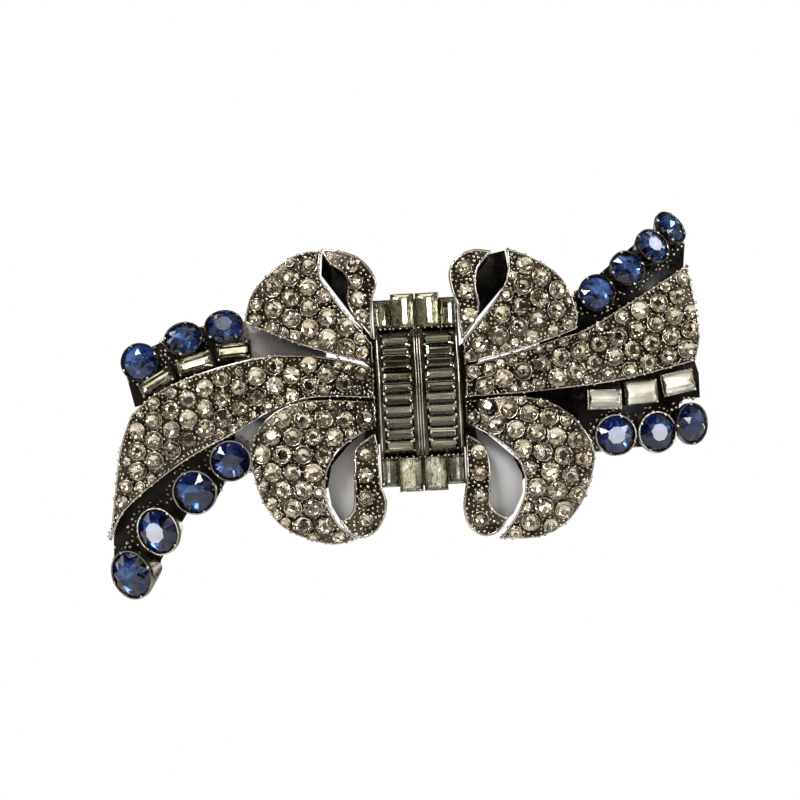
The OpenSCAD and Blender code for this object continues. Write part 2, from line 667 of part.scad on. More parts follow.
module gallery_upper_left() gallery(gallery_ul, gallery_dome_ul);
module gallery_lower_left() gallery(gallery_ll, gallery_dome_ll);
module gallery_upper_right() gallery(gallery_ur, gallery_dome_ur);
module gallery_lower_right() gallery(gallery_lr, gallery_dome_lr);

module setting_upper_left() color(metal) upright() row_setting(blues_ul, bags_ul, gallery_dome_ul);
module setting_lower_left() color(metal) upright() row_setting(blues_ll, [], gallery_dome_ll);
module setting_upper_right() color(metal) upright() row_setting(blues_ur, [], gallery_dome_ur);
module setting_lower_right() color(metal) upright() row_setting(blues_lr, bags_lr, gallery_dome_lr);

module blue_ul_1() upright() blue(blues_ul[0]);
module blue_ul_2() upright() blue(blues_ul[1]);
module blue_ul_3() upright() blue(blues_ul[2]);
module blue_ll_1() upright() blue(blues_ll[0]);
module blue_ll_2() upright() blue(blues_ll[1]);
module blue_ll_3() upright() blue(blues_ll[2]);
module blue_ll_4() upright() blue(blues_ll[3]);
module blue_ur_1() upright() blue(blues_ur[0]);
module blue_ur_2() upright() blue(blues_ur[1]);
module blue_ur_3() upright() blue(blues_ur[2]);
module blue_ur_4() upright() blue(blues_ur[3]);
module blue_lr_1() upright() blue(blues_lr[0]);
module blue_lr_2() upright() blue(blues_lr[1]);
module blue_lr_3() upright() blue(blues_lr[2]);
module baguette_ul_1() upright() tail_baguette(bags_ul[0]);
module baguette_ul_2() upright() tail_baguette(bags_ul[1]);
module baguette_ul_3() upright() tail_baguette(bags_ul[2]);
module baguette_lr_1() upright() tail_baguette(bags_lr[0]);
module baguette_lr_2() upright() tail_baguette(bags_lr[1]);
module baguette_lr_3() upright() tail_baguette(bags_lr[2]);

// ---- Pave ----

module pave_field(dome, places) color(clear_stone) upright() pave(dome, places);

module pave_tail_left() pave_field(dome_tail_left, pave_places(outline_tail_left, 32));
module pave_tail_right() pave_field(dome_tail_right, pave_places(outline_tail_right, 20));

module pave_upper_left() {
  pave_field(dome_ul, pave_places(outline_ul, -28));
  pave_field(fold_dome_ul, line_places([-11.2, 21], [-9.8, 12.8], 4));
}

module pave_upper_right() {
  pave_field(dome_ur, pave_places(outline_ur, 24));
  pave_field(fold_dome_ur, line_places([7.2, 20.6], [8, 13], 3));
}

module pave_lower_left() {
  pave_field(dome_ll, pave_places(outline_ll, 60));
  pave_field(fold_dome_ll, line_places([-9.1, -10], [-8.9, -20.6], 4));
}

module pave_lower_right() {
  pave_field(dome_lr, pave_places(outline_lr, 110));
  pave_field(fold_dome_lr, line_places([9.6, -9.6], [9.9, -20.4], 4));
}

back_plate();
base_bar();
mounting_rivets();
hinge_pin();
clasp_arm();
tension_spring();
spring_rivet();
catch_wing_upper();
catch_wing_lower();
catch_pins();
knot_frame();
knot_column_left();
knot_column_right();
knot_fan_top();
knot_fan_bottom();
tail_left();
tail_right();
loop_upper_left();
loop_upper_right();
loop_lower_left();
loop_lower_right();
fold_upper_left();
fold_upper_right();
fold_lower_left();
fold_lower_right();
gallery_upper_left();
gallery_lower_left();
gallery_upper_right();
gallery_lower_right();
setting_upper_left();
setting_lower_left();
setting_upper_right();
setting_lower_right();
blue_ul_1();
blue_ul_2();
blue_ul_3();
blue_ll_1();
blue_ll_2();
blue_ll_3();
blue_ll_4();
blue_ur_1();
blue_ur_2();
blue_ur_3();
blue_ur_4();
blue_lr_1();
blue_lr_2();
blue_lr_3();
baguette_ul_1();
baguette_ul_2();
baguette_ul_3();
baguette_lr_1();
baguette_lr_2();
baguette_lr_3();
pave_tail_left();
pave_tail_right();
pave_upper_left();
pave_upper_right();
pave_lower_left();
pave_lower_right();
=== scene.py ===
"""Looks of a bow-shaped, stone-set hair clip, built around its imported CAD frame.

Faceted stones, prong beads, rails and milgrain are placed from the CAD nodes' own meshes.
"""
import math
import random

import bpy
import numpy as np
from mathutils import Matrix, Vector


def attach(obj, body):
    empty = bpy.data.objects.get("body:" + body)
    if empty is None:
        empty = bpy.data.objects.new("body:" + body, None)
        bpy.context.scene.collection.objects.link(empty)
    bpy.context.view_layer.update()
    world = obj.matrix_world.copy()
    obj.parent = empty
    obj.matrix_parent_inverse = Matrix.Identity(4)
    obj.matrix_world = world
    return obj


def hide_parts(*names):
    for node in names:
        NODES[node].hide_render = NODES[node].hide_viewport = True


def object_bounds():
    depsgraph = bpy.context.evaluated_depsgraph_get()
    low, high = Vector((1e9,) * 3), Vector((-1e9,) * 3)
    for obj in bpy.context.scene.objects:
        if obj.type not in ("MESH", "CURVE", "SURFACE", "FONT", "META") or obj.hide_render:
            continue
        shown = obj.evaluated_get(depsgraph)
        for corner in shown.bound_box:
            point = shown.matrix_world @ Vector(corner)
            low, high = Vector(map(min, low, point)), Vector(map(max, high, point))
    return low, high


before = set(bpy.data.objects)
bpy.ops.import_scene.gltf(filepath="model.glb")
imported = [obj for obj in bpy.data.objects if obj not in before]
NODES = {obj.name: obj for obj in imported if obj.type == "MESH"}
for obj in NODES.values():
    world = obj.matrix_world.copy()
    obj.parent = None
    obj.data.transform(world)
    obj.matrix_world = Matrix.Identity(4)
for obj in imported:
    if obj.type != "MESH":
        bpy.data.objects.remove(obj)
CAD_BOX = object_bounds()
MM = 0.001
QUADS = ("upper_left", "upper_right", "lower_left", "lower_right")
RIBBONS = ("tail_left", "tail_right") + tuple("loop_" + q for q in QUADS)
FRONT = Vector((0, -1, 0))
# The camera's distance from the clip, the width that it frames there, how far off the middle it looks,
# and the width of its sensor in millimetres
CAMERA_DISTANCE = 2.5
FRAME_WIDTH = 0.1311
CAMERA_SHIFT = (-0.0015, 0.0009)
SENSOR = 36
# Strength of the room of bright cards, and how finely it is divided
ROOM_STRENGTH = 3.6
ROOM_CELLS = 8.0
# Blue stones whose tables mirror a lit window, and the window's distance, size and power
WINDOW_STONES = ("blue_ll_3", "blue_lr_1", "blue_lr_2", "blue_ur_3")
WINDOW = (0.25, 0.02, 0.016)
# A face looks forward when its normal's forward share is above this
FORWARD = 0.55
# A patch smaller than this is a sliver
LEAST_PATCH = 4 * MM * MM
# A ribbon's rim is cut into separate wires where it turns by more than this
CORNER = math.radians(38)
SHORTEST_WIRE = 0.4 * MM
# Radii of the wires on the ribbons' rims, on the folds' rims, and over the knot
RIM_WIRE = 0.16 * MM
FOLD_WIRE = 0.22 * MM
KNOT_SIDE_WIRE = 0.16 * MM
KNOT_MIDDLE_WIRE = 0.11 * MM
# Milgrain inside a ribbon's rim: how far in, how far apart, and the radii in millimetres
MILGRAIN_INSET = 0.45 * MM
MILGRAIN_GAP = 0.7 * MM
MILGRAIN_RADII = (0.1, 0.24)
# Beads between the stones, on ribbons and on galleries: radii, spacing and the number of places tried
RIBBON_BEADS = ((0.16 * MM, 0.34 * MM), 0.72 * MM, 26000)
GALLERY_BEADS = ((0.2 * MM, 0.4 * MM), 0.75 * MM, 9000)
# Gallery beads lie within this of a blue stone
GALLERY_REACH = 1.4 * MM
# Share of the pave stones that have a bright turned-over rim
RIMMED_SHARE = 0.6
# Wire round a blue stone's girdle, and the radii of the prongs
BEZEL_WIRE = 0.1 * MM
BLUE_PRONG = 0.28 * MM
TAIL_PRONG = 0.22 * MM
COLUMN_PRONG = 0.18 * MM
FAN_PRONG = 0.2 * MM
# How far the pave stones stand above their CAD seats, and how much each one leans
PAVE_LIFT = 0.18 * MM
PAVE_SWAY = 0.09
# Inner side of the galleries on the left, from which they are painted pale as a reflection of light;
# outside it they are painted near-black as shade
PAINTED_PALE_FROM = -0.0305


# ---- Camera, floor and light ----

def add_camera():
    """A long lens straight at the clip's face, framed a little off its middle."""
    low, high = (Vector(c) for c in CAD_BOX)
    middle = (low + high) / 2
    data = bpy.data.cameras.new("camera")
    data.sensor_width = SENSOR
    data.lens = SENSOR * CAMERA_DISTANCE / FRAME_WIDTH
    data.clip_start = 0.01
    cam = bpy.data.objects.new("camera", data)
    bpy.context.scene.collection.objects.link(cam)
    cam.location = (middle.x + CAMERA_SHIFT[0], low.y - CAMERA_DISTANCE, middle.z + CAMERA_SHIFT[1])
    cam.rotation_euler = (math.pi / 2, 0, 0)
    bpy.context.scene.camera = cam


def add_floor():
    low, _ = CAD_BOX
    bpy.ops.mesh.primitive_plane_add(size=2.4, location=(0, 0, low[2] - 0.12))
    floor = bpy.context.object
    floor.name = "floor"
    nt, bsdf = new_material("floor_paper")
    noise = node(nt, "ShaderNodeTexNoise", Scale=60.0, Detail=4.0)
    ramp = color_ramp(nt, noise.outputs["Fac"], [(0.3, (0.9, 0.9, 0.9)), (0.7, (0.94, 0.94, 0.94))])
    nt.links.new(ramp.outputs["Color"], bsdf.inputs["Base Color"])
    bsdf.inputs["Roughness"].default_value = 0.9
    bsdf.inputs["Specular IOR Level"].default_value = 0.1
    floor.data.materials.append(bpy.data.materials["floor_paper"])


def add_light(name, place, target, size, power):
    data = bpy.data.lights.new(name, "AREA")
    data.size = size
    data.energy = power
    light = bpy.data.objects.new(name, data)
    bpy.context.scene.collection.objects.link(light)
    light.location = place
    way = Vector(target) - Vector(place)
    light.rotation_euler = way.to_track_quat("-Z", "Y").to_euler()


def add_world():
    """A dark room hung with bright cards: plain white behind the clip, but light and dark to its facets."""
    world = bpy.data.worlds.new("studio")
    bpy.context.scene.world = world
    world.use_nodes = True
    nt = world.node_tree
    nt.nodes.clear()
    out = nt.nodes.new("ShaderNodeOutputWorld")
    coord = nt.nodes.new("ShaderNodeTexCoord").outputs["Generated"]
    cells = node(nt, "ShaderNodeTexVoronoi", Scale=ROOM_CELLS, Randomness=1.0)
    nt.links.new(coord, cells.inputs["Vector"])
    pick = nt.nodes.new("ShaderNodeSeparateColor")
    nt.links.new(cells.outputs["Color"], pick.inputs["Color"])
    cards = color_ramp(nt, pick.outputs["Red"], [
        (0.0, (0.006, 0.005, 0.004)), (0.34, (0.035, 0.031, 0.024)), (0.54, (0.10, 0.092, 0.074)),
        (0.72, (0.22, 0.205, 0.17)), (0.86, (0.50, 0.47, 0.41)), (0.93, (1.0, 0.97, 0.9))], "CONSTANT")
    facing = nt.nodes.new("ShaderNodeVectorMath")
    facing.operation = "DOT_PRODUCT"
    nt.links.new(coord, facing.inputs[0])
    facing.inputs[1].default_value = FRONT
    hole = color_ramp(nt, facing.outputs["Value"], [(0.95, grey(1.0)), (0.985, grey(0.35))])
    mix = nt.nodes.new("ShaderNodeMix")
    mix.data_type = "RGBA"
    mix.blend_type = "MULTIPLY"
    mix.inputs["Factor"].default_value = 1.0
    nt.links.new(cards.outputs["Color"], mix.inputs["A"])
    nt.links.new(hole.outputs["Color"], mix.inputs["B"])
    room = nt.nodes.new("ShaderNodeBackground")
    room.inputs["Strength"].default_value = ROOM_STRENGTH
    nt.links.new(mix.outputs["Result"], room.inputs["Color"])
    paper = nt.nodes.new("ShaderNodeBackground")
    paper.inputs["Color"].default_value = (1, 1, 1, 1)
    rays = nt.nodes.new("ShaderNodeLightPath")
    shader = nt.nodes.new("ShaderNodeMixShader")
    nt.links.new(rays.outputs["Is Camera Ray"], shader.inputs["Fac"])
    nt.links.new(room.outputs["Background"], shader.inputs[1])
    nt.links.new(paper.outputs["Background"], shader.inputs[2])
    nt.links.new(shader.outputs["Shader"], out.inputs["Surface"])


# ---- Materials ----

def new_material(name):
    mat = bpy.data.materials.new(name)
    mat.use_nodes = True
    nt = mat.node_tree
    return nt, nt.nodes["Principled BSDF"]


def node(nt, kind, **values):
    made = nt.nodes.new(kind)
    for key, value in values.items():
        made.inputs[key.replace("_", " ")].default_value = value
    return made


def color_ramp(nt, source, stops, blend="LINEAR"):
    ramp = nt.nodes.new("ShaderNodeValToRGB")
    ramp.color_ramp.interpolation = blend
    elements = ramp.color_ramp.elements
    while len(elements) < len(stops):
        elements.new(0.5)
    for element, (place, color) in zip(elements, stops):
        element.position = place
        element.color = (*color, 1)
    nt.links.new(source, ramp.inputs["Fac"])
    return ramp


def object_coords(nt):
    return nt.nodes.new("ShaderNodeTexCoord").outputs["Object"]


def noise_of(nt, scale, detail=3.0):
    """Noise whose cells are `scale` to the metre."""
    noise = node(nt, "ShaderNodeTexNoise", Scale=scale, Detail=detail)
    nt.links.new(object_coords(nt), noise.inputs["Vector"])
    return noise.outputs["Fac"]


def grey(value):
    return (value, value, value)


def add_bump(nt, bsdf, height, strength, distance):
    bump = node(nt, "ShaderNodeBump", Strength=strength, Distance=distance)
    nt.links.new(height, bump.inputs["Height"])
    nt.links.new(bump.outputs["Normal"], bsdf.inputs["Normal"])


def metal(name, bright, dark, rough, bump=0.15, scale=700.0):
    """Plated metal: tarnish in soft patches, fine scratches in its gloss, and a slightly uneven surface."""
    nt, bsdf = new_material(name)
    bsdf.inputs["Metallic"].default_value = 1.0
    tarnish = color_ramp(nt, noise_of(nt, scale * 0.5), [(0.35, dark), (0.6, bright)])
    nt.links.new(tarnish.outputs["Color"], bsdf.inputs["Base Color"])
    gloss = color_ramp(nt, noise_of(nt, scale * 3, 5.0),
                       [(0.3, grey(rough * 0.6)), (0.75, grey(rough * 1.5))])
    nt.links.new(gloss.outputs["Color"], bsdf.inputs["Roughness"])
    add_bump(nt, bsdf, noise_of(nt, scale * 2), bump, 0.0001)
    return bpy.data.materials[name]


def brushed(name, bright, dark):
    """Spring steel with a fine grain along its length."""
    nt, bsdf = new_material(name)
    bsdf.inputs["Metallic"].default_value = 1.0
    stretch = nt.nodes.new("ShaderNodeMapping")
    stretch.inputs["Scale"].default_value = (60, 4000, 4000)
    nt.links.new(object_coords(nt), stretch.inputs["Vector"])
    grain = node(nt, "ShaderNodeTexNoise", Scale=1.0, Detail=4.0)
    nt.links.new(stretch.outputs["Vector"], grain.inputs["Vector"])
    tone = color_ramp(nt, grain.outputs["Fac"], [(0.3, dark), (0.7, bright)])
    nt.links.new(tone.outputs["Color"], bsdf.inputs["Base Color"])
    gloss = color_ramp(nt, noise_of(nt, 300.0), [(0.3, grey(0.22)), (0.75, grey(0.38))])
    nt.links.new(gloss.outputs["Color"], bsdf.inputs["Roughness"])
    add_bump(nt, bsdf, grain.outputs["Fac"], 0.2, 0.00005)
    return bpy.data.materials[name]


def enamel(name, bright, dark):
    """Smooth satin lacquer with faint clouds in its tone and gloss."""
    nt, bsdf = new_material(name)
    tone = color_ramp(nt, noise_of(nt, 120.0), [(0.35, dark), (0.65, bright)])
    nt.links.new(tone.outputs["Color"], bsdf.inputs["Base Color"])
    gloss = color_ramp(nt, noise_of(nt, 500.0), [(0.3, grey(0.35)), (0.7, grey(0.5))])
    nt.links.new(gloss.outputs["Color"], bsdf.inputs["Roughness"])
    return bpy.data.materials[name]


def gem(name, tones):
    """Clear faceted glass whose tint drifts from stone to stone."""
    nt, bsdf = new_material(name)
    bsdf.inputs["Transmission Weight"].default_value = 1.0
    bsdf.inputs["IOR"].default_value = 1.5
    tint = color_ramp(nt, noise_of(nt, 260.0, 1.0), tones)
    nt.links.new(tint.outputs["Color"], bsdf.inputs["Base Color"])
    wear = color_ramp(nt, noise_of(nt, 1500.0), [(0.45, grey(0.0)), (0.8, grey(0.06))])
    nt.links.new(wear.outputs["Color"], bsdf.inputs["Roughness"])
    return bpy.data.materials[name]


def foil(name, tones, rough=0.12, stretch=(420, 420, 420)):
    """Mirror foil behind a stone, aged in patches, or with light and dark streaks along the axis of the
    smallest stretch that paint reflections of a step cut's facets.
    """
    nt, bsdf = new_material(name)
    bsdf.inputs["Metallic"].default_value = 1.0
    bsdf.inputs["Roughness"].default_value = rough
    mapping = nt.nodes.new("ShaderNodeMapping")
    mapping.inputs["Scale"].default_value = stretch
    nt.links.new(object_coords(nt), mapping.inputs["Vector"])
    patches = node(nt, "ShaderNodeTexNoise", Scale=1.0, Detail=2.0)
    nt.links.new(mapping.outputs["Vector"], patches.inputs["Vector"])
    tone = color_ramp(nt, patches.outputs["Fac"], tones)
    nt.links.new(tone.outputs["Color"], bsdf.inputs["Base Color"])
    add_bump(nt, bsdf, noise_of(nt, 900.0), 0.05, 0.0001)
    return bpy.data.materials[name]


def gallery_painted_reflection(name, limit):
    """Cast metal painted pale on the side of the knot, from `limit` along X, as a painted reflection, and
    near-black beyond it as painted shade.
    """
    # Pale grey here is a painted reflection of light
    mat = metal(name + "_metal", (0.62, 0.62, 0.66), (0.58, 0.58, 0.62), 0.42, bump=0.01)
    nt = mat.node_tree
    bsdf = nt.nodes["Principled BSDF"]
    axes = nt.nodes.new("ShaderNodeSeparateXYZ")
    nt.links.new(object_coords(nt), axes.inputs[0])
    side = nt.nodes.new("ShaderNodeMath")
    side.operation = "GREATER_THAN"
    nt.links.new(axes.outputs["X"], side.inputs[0])
    side.inputs[1].default_value = limit
    mix = nt.nodes.new("ShaderNodeMix")
    mix.data_type = "RGBA"
    nt.links.new(side.outputs[0], mix.inputs["Factor"])
    # Near-black painted shade on the outer side of the gallery
    mix.inputs["A"].default_value = (0.016, 0.015, 0.013, 1)
    nt.links.new(bsdf.inputs["Base Color"].links[0].from_socket, mix.inputs["B"])
    nt.links.new(mix.outputs["Result"], bsdf.inputs["Base Color"])
    return mat


CASTING = metal("casting", (0.07, 0.06, 0.045), (0.015, 0.013, 0.01), 0.25, bump=0.5)
WIRE = metal("polished_wire", (0.50, 0.465, 0.41), (0.26, 0.24, 0.205), 0.2, bump=0.05)
CUP = metal("cup_metal", (0.24, 0.225, 0.195), (0.10, 0.09, 0.075), 0.22, bump=0.1)
BEAD = metal("bead_metal", (0.60, 0.55, 0.46), (0.18, 0.155, 0.12), 0.10, bump=0.05, scale=1500.0)
# Two recess finishes for one polished metal: the near-black one paints the dark that the recesses mirror
# and their shade, the pale grey one paints the light that they mirror
DARK_PAINTED_RECESS = metal("dark_recess", (0.02, 0.02, 0.02), (0.008, 0.008, 0.008), 0.2, bump=0.05)
PAINTED_LIGHT_RECESS = enamel("pale_recess", (0.64, 0.64, 0.66), (0.60, 0.60, 0.62))
STEEL = brushed("spring_steel", (0.78, 0.79, 0.8), (0.55, 0.56, 0.57))
CLEAR = gem("clear_glass", [
    (0.3, (0.93, 0.88, 0.78)), (0.5, (0.97, 0.94, 0.88)), (0.7, (0.88, 0.82, 0.68))])
CLEAR_FOIL = foil("clear_foil", [
    (0.3, (0.55, 0.51, 0.42)), (0.5, (0.80, 0.77, 0.69)), (0.7, (0.34, 0.31, 0.24))], 0.05)
OLIVE = gem("baguette_glass", [
    (0.3, (0.86, 0.87, 0.8)), (0.5, (0.95, 0.95, 0.9)), (0.7, (0.86, 0.83, 0.68))])
# The streaks in these two foils are painted reflections of the steps' facets
ACROSS_STREAK_PAINTED_FOIL = foil("streaked_across", [
    (0.36, (0.06, 0.063, 0.048)), (0.5, (0.25, 0.24, 0.175)),
    (0.58, (0.09, 0.1, 0.1)), (0.7, (0.56, 0.54, 0.43))], 0.08, stretch=(60, 1800, 1800))
UPRIGHT_STREAK_PAINTED_FOIL = foil("streaked_upright", [
    (0.36, (0.16, 0.165, 0.125)), (0.5, (0.62, 0.6, 0.46)),
    (0.58, (0.28, 0.3, 0.27)), (0.7, (0.9, 0.88, 0.74))], 0.16, stretch=(1800, 1800, 60))
CREAM_FOIL = foil("cream_foil", [
    (0.3, (0.62, 0.59, 0.47)), (0.5, (0.9, 0.88, 0.76)), (0.7, (0.5, 0.47, 0.34))],
    0.08, stretch=(300, 300, 300))
WHITE_FOIL = foil("white_foil", [
    (0.3, (0.9, 0.89, 0.86)), (0.5, (1.0, 1.0, 0.98)), (0.7, (0.86, 0.84, 0.78))],
    0.3, stretch=(300, 300, 300))
BLUE = gem("blue_glass", [
    (0.3, (0.42, 0.56, 0.85)), (0.5, (0.52, 0.66, 0.92)), (0.7, (0.34, 0.47, 0.78))])
BLUE_FOIL = foil("blue_foil", [
    (0.3, (0.035, 0.07, 0.17)), (0.5, (0.17, 0.27, 0.52)), (0.7, (0.01, 0.02, 0.06))])
NAVY_FOIL = foil("navy_foil", [
    (0.3, (0.02, 0.04, 0.12)), (0.5, (0.09, 0.145, 0.32)), (0.7, (0.008, 0.015, 0.05))])


# ---- Reading the CAD meshes ----

def welded(name):
    """A node's points without doubles, and its faces as lists of those points' numbers."""
    mesh = NODES[name].data
    co = np.empty(len(mesh.vertices) * 3)
    mesh.vertices.foreach_get("co", co)
    co = co.reshape(-1, 3)
    keys = np.round(co / 2e-6).astype(np.int64)
    _, first, number = np.unique(keys, axis=0, return_index=True, return_inverse=True)
    number = number.ravel()
    faces = [[int(number[v]) for v in p.vertices] for p in mesh.polygons]
    return co[first], faces


def islands(name):
    """The points of each separate solid of a node, from left to right."""
    points, faces = welded(name)
    parent = list(range(len(points)))

    def find(i):
        while parent[i] != i:
            parent[i] = parent[parent[i]]
            i = parent[i]
        return i

    for face in faces:
        a = find(face[0])
        for v in face[1:]:
            parent[find(v)] = a
    groups = {}
    for i in range(len(points)):
        groups.setdefault(find(i), []).append(i)
    found = [points[g] for g in groups.values() if len(g) > 3]
    return sorted(found, key=lambda p: (round(p[:, 0].mean(), 5), round(p[:, 2].mean(), 5)))


def axes_of(points):
    """Principal axes of a solid's points, shortest spread first."""
    centred = points - points.mean(0)
    _, vectors = np.linalg.eigh(centred.T @ centred)
    return [Vector(vectors[:, i]).normalized() for i in range(3)]


def round_seat(points):
    """Centre of the girdle, axis towards the front, and radius of a round stone."""
    axis = axes_of(points)[0]
    if axis.y > 0:
        axis = -axis
    a = np.array(axis)
    middle = points.mean(0)
    along = (points - middle) @ a
    radial = np.linalg.norm(points - middle - np.outer(along, a), axis=1)
    radius = radial.max()
    level = along[radial > 0.98 * radius].max()
    return Vector(middle + a * level), axis, float(radius)


def step_seat(points):
    """Centre of the base, front axis, long axis, and the length, width and height of a step-cut stone."""
    axes = axes_of(points)
    spans = [np.ptp(points @ np.array(a)) for a in axes]
    order = np.argsort(spans)
    up, _, long = (axes[i] for i in order)
    if up.y > 0:
        up = -up
    side = up.cross(long)
    levels = [points @ np.array(a) for a in (long, side, up)]
    middles = [float(lv.max() + lv.min()) / 2 for lv in levels]
    base = long * middles[0] + side * middles[1] + up * float(levels[2].min())
    return base, up, long, [float(np.ptp(lv)) for lv in levels]


# ---- Mesh building ----

class Shape:
    """Points, faces and material numbers collected for one piece."""

    def __init__(self):
        self.points = []
        self.faces = []
        self.slots = []

    def add(self, points, faces, slots=None):
        start = len(self.points)
        self.points += [tuple(p) for p in points]
        self.faces += [tuple(start + i for i in f) for f in faces]
        self.slots += list(slots) if slots else [0] * len(faces)

    def piece(self, name, materials, slot, smooth=False, replaces=()):
        mesh = bpy.data.meshes.new(name)
        mesh.from_pydata(self.points, [], self.faces)
        mesh.polygons.foreach_set("material_index", self.slots)
        mesh.polygons.foreach_set("use_smooth", [smooth] * len(self.faces))
        for mat in materials:
            mesh.materials.append(mat)
        mesh.update()
        made = bpy.data.objects.new(name, mesh)
        bpy.context.scene.collection.objects.link(made)
        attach(made, "root")
        if replaces:
            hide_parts(*replaces)
        return made


def basis(up, along=None):
    """Side, forward and up axes of a right-handed local frame."""
    helper = along or (Vector((0, 0, 1)) if abs(up.z) < 0.9 else Vector((1, 0, 0)))
    side = (helper - up * helper.dot(up)).normalized()
    return side, up.cross(side), up


def ring(centre, frame_axes, radius, height, count, turn=0.0):
    side, forward, up = frame_axes
    return [centre + side * radius * math.cos(turn + math.tau * i / count)
            + forward * radius * math.sin(turn + math.tau * i / count) + up * height for i in range(count)]


def brilliant(shape, centre, up, radius, turn, cut):
    """A round brilliant: table, star, kite and girdle facets in glass, over foiled pavilion facets."""
    wide, crown, deep = cut
    f = basis(up)
    n = 8
    half = math.pi / n
    table = ring(centre, f, radius * wide, radius * crown, n, turn)
    star = ring(centre, f, radius * 0.80, radius * crown * 0.58, n, turn + half)
    girdle = ring(centre, f, radius * 0.985, 0, 2 * n, turn)
    low = ring(centre, f, radius * 0.985, -radius * 0.05, 2 * n, turn)
    belly = ring(centre, f, radius * 0.45, -radius * deep * 0.62, n, turn + half)
    culet = [centre - up * radius * deep]
    points = table + star + girdle + low + belly + culet
    t, s, g, w, b, c = 0, n, 2 * n, 4 * n, 6 * n, 7 * n
    faces = [tuple(range(t, t + n))]
    for i in range(n):
        j = (i + 1) % n
        before = (i - 1) % n
        faces.append((t + j, t + i, s + i))
        faces.append((t + i, s + before, g + 2 * i, s + i))
        faces.append((s + i, g + 2 * i, g + 2 * i + 1))
        faces.append((s + i, g + 2 * i + 1, g + (2 * i + 2) % (2 * n)))
    crown_faces = len(faces)
    for i in range(2 * n):
        j = (i + 1) % (2 * n)
        faces.append((g + i, w + i, w + j, g + j))
    for i in range(n):
        before = (i - 1) % n
        odd = w + 2 * i + 1
        even = w + (2 * i + 2) % (2 * n)
        faces.append((w + 2 * i, b + i, odd))
        faces.append((odd, b + i, even))
        faces.append((w + 2 * i, b + before, b + i))
        faces.append((b + before, c, b + i))
    shape.add(points, faces, [0] * crown_faces + [1] * (len(faces) - crown_faces))


def step_cut(shape, base, up, long, size, end_cut, side_cut):
    """A baguette: stepped crown in glass over a keeled, foiled pavilion whose end facets take a foil of
    their own, brighter in the knot's columns as a painted highlight on the ends.
    """
    length, width, height = size
    long = long.normalized()
    side = up.cross(long)

    def corner_ring(share_l, share_w, level):
        return [base + long * sx * length / 2 * share_l + side * sy * width / 2 * share_w + up * level
                for sx, sy in ((1, 1), (-1, 1), (-1, -1), (1, -1))]

    a, b = end_cut, side_cut
    rings = [corner_ring(0.99, 0.98, height * 0.45), corner_ring(0.99, 0.98, height * 0.62),
             corner_ring(1 - a, 1 - b, height * 0.88), corner_ring(1 - 2 * a, 1 - 2 * b, height)]
    steps = [corner_ring(0.92, 0.66, height * 0.30), corner_ring(0.8, 0.34, height * 0.18)]
    keel = [base + long * s * length * 0.34 + up * height * 0.12 for s in (1, -1)]
    points = [p for r in rings + steps for p in r] + keel
    faces = [(12, 13, 14, 15)]
    for r in (1, 2):
        for i in range(4):
            j = (i + 1) % 4
            faces.append((4 * r + i, 4 * r + j, 4 * r + 4 + j, 4 * r + 4 + i))
    crown_faces = len(faces)
    slots = [0] * crown_faces
    # Long sides take the second material, ends the third: where that foil is the brighter one it is a
    # painted highlight
    for upper, lower in ((4, 0), (0, 16), (16, 20)):
        for i in range(4):
            j = (i + 1) % 4
            faces.append((lower + i, lower + j, upper + j, upper + i))
            slots.append(1 + i % 2)
    faces += [(21, 20, 24, 25), (23, 22, 25, 24), (22, 21, 25), (20, 23, 24)]
    slots += [1, 1, 2, 2]
    shape.add(points, faces, slots)


def ball_mesh():
    """Points and faces of a small round bead of unit radius."""
    bpy.ops.mesh.primitive_ico_sphere_add(subdivisions=2, radius=1)
    ball = bpy.context.object
    points = [v.co.copy() for v in ball.data.vertices]
    faces = [tuple(p.vertices) for p in ball.data.polygons]
    bpy.data.objects.remove(ball)
    return points, faces


BALL_POINTS, BALL_FACES = ball_mesh()


def bead(shape, centre, radius):
    shape.add([centre + p * radius for p in BALL_POINTS], BALL_FACES)


def tube(shape, path, radius, closed=True, sides=8, aim=FRONT):
    """Round wire along a path."""
    n = len(path)
    start = []
    for i, p in enumerate(path):
        ahead = path[(i + 1) % n] if closed or i + 1 < n else p
        behind = path[i - 1] if closed or i else p
        way = (ahead - behind).normalized()
        side = way.cross(aim).normalized()
        start += ring(p, (side, side.cross(way).normalized(), way), radius, 0, sides)
    faces = []
    for i in range(n if closed else n - 1):
        a, b = i * sides, (i + 1) % n * sides
        faces += [(a + k, b + k, b + (k + 1) % sides, a + (k + 1) % sides) for k in range(sides)]
    if not closed:
        faces += [tuple(range(sides)), tuple(range(n * sides - 1, (n - 1) * sides - 1, -1))]
    shape.add(start, faces)


# ---- Edges and surfaces of the ribbons ----

def front_patches(name):
    """Joined patches of a node's forward faces, the foremost first, as (numbers, corner points) pairs."""
    points, faces = welded(name)
    found = []
    for face in faces:
        corners = [Vector(points[i]) for i in face]
        normal = (corners[1] - corners[0]).cross(corners[2] - corners[0])
        if normal.length > 0 and normal.normalized().y < -FORWARD:
            found.append((face, corners))
    home = {}
    for n, (face, _) in enumerate(found):
        for i in face:
            home.setdefault(i, []).append(n)
    patches = []
    left = set(range(len(found)))
    while left:
        todo = [left.pop()]
        patch = []
        while todo:
            n = todo.pop()
            patch.append(found[n])
            near = {m for i in found[n][0] for m in home[i]} & left
            left -= near
            todo += near
        patches.append(patch)
    large = [p for p in patches if patch_area(p) > LEAST_PATCH]
    return sorted(large, key=foremost)


def patch_area(patch):
    return sum((c[k] - c[0]).cross(c[k + 1] - c[0]).length / 2
               for _, c in patch for k in range(1, len(c) - 1))


def foremost(patch):
    ys = [p.y for _, corners in patch for p in corners]
    return sum(ys) / len(ys)


